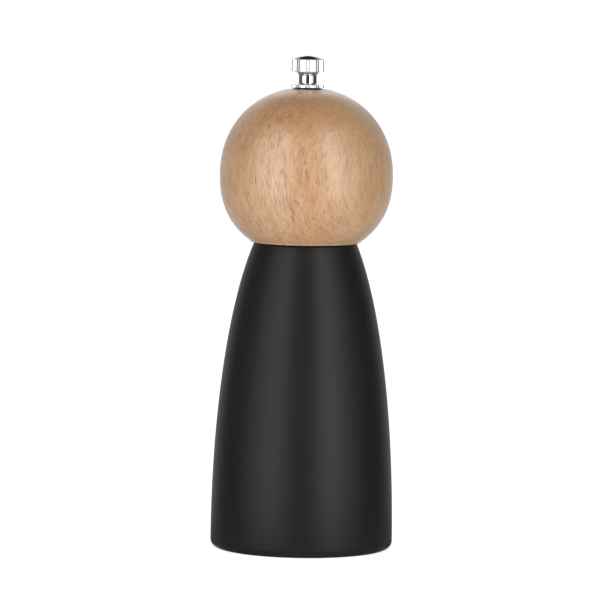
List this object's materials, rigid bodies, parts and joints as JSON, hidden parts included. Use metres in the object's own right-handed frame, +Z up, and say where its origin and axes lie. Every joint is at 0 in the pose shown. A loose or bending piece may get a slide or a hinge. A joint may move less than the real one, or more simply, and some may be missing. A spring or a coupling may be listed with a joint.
{
  "type": "pepper mill",
  "caption": "Hand pepper mill: a turned wooden ball head turns on a waisted black body over a ceramic conical mill, with a fluted metal grind knob on top.",
  "frame": {"origin": "centre of the base's underside, on the mill's axis", "axes": "+Z up along the mill's axis, +X and +Y level; the mill is round apart from its screws"},
  "size_m": [0.06, 0.06, 0.1638],
  "materials": {
    "black_lacquer": "black satin lacquer over wood",
    "beech": "clear satin lacquer",
    "chrome": "polished",
    "steel": "zinc-bright, drawn",
    "ceramic": "fired, unglazed",
    "black_plastic": "moulded, matt",
    "nylon": "moulded, natural"
  },
  "bodies": {
    "mill_body": {"body": "black_lacquer", "burr_housing": "black_plastic", "bridge": "black_plastic", "stator_burr": "ceramic", "housing_screw_1": "steel", "housing_screw_2": "steel", "housing_screw_3": "steel"},
    "guide": {"guide_bush": "nylon"},
    "spindle": {"shaft": "steel", "shaft_clip": "steel", "rotor_burr": "ceramic", "rotor_core": "nylon", "rotor_washer": "steel", "rotor_nut": "steel", "spring": "steel"},
    "head": {"head": "beech", "head_ferrule": "steel", "drive_plate": "steel", "drive_plate_screw_1": "steel", "drive_plate_screw_2": "steel"},
    "knob_washer": {"knob_washer": "black_plastic"},
    "knob": {"knob": "chrome"}
  },
  "joints": [
    {"name": "mill_turn", "type": "hinge", "parent": "mill_body", "child": "guide", "pos_m": [0, 0, 0.0174], "axis": [0, 0, 1], "continuous": true},
    {"name": "grind_adjust", "type": "slide", "parent": "guide", "child": "spindle", "axis": [0, 0, 1], "range_m": [0, 0.0014], "deforming": ["spring"]},
    {"name": "head_lift", "type": "slide", "parent": "guide", "child": "head", "axis": [0, 0, 1], "range_m": [0, 0.075]},
    {"name": "knob_lift", "type": "slide", "parent": "head", "child": "knob_washer", "axis": [0, 0, 1], "range_m": [0, 0.012]},
    {"name": "knob_turn", "type": "hinge", "parent": "knob_washer", "child": "knob", "pos_m": [0, 0, 0.15275], "axis": [0, 0, -1], "range_deg": [0, 720]}
  ],
  "couplings": [
    {"joint": "knob_turn", "follows": "grind_adjust", "rad_per_m": 8975.9}
  ]
}
